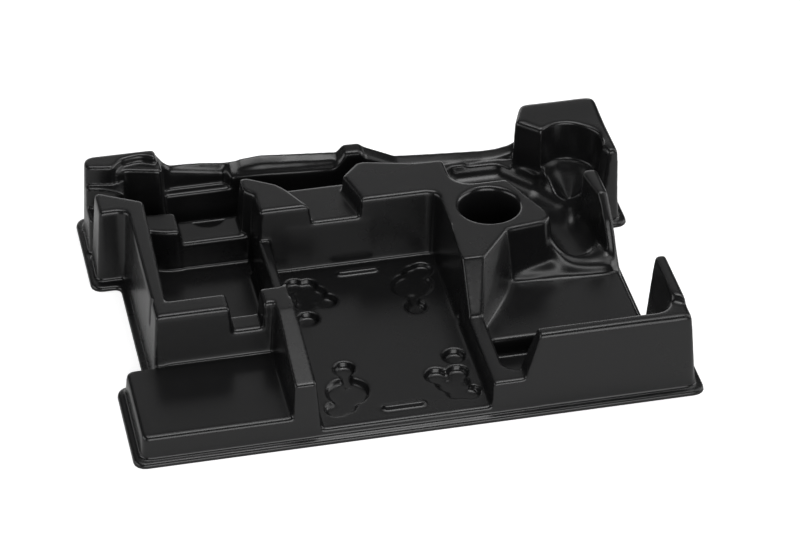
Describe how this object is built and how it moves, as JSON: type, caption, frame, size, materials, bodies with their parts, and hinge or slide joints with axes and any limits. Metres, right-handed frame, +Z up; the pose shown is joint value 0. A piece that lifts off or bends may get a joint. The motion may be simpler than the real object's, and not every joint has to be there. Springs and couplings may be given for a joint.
{
  "type": "tool case insert",
  "caption": "Thin vacuum-formed black plastic tray insert for a tool case, with stepped bays, ridges, a round socket and a scooped corner tower, open underneath.",
  "frame": {"origin": "centre of the bounding box on the plane that the rim stands on", "axes": "+Z up, +X along the long side to the right, +Y from the front edge to the back edge"},
  "size_m": [0.378, 0.282, 0.0625],
  "materials": {
    "insert_tray": "satin black thermoformed sheet"
  },
  "bodies": {
    "root": {"insert_tray": "insert_tray"}
  },
  "joints": []
}
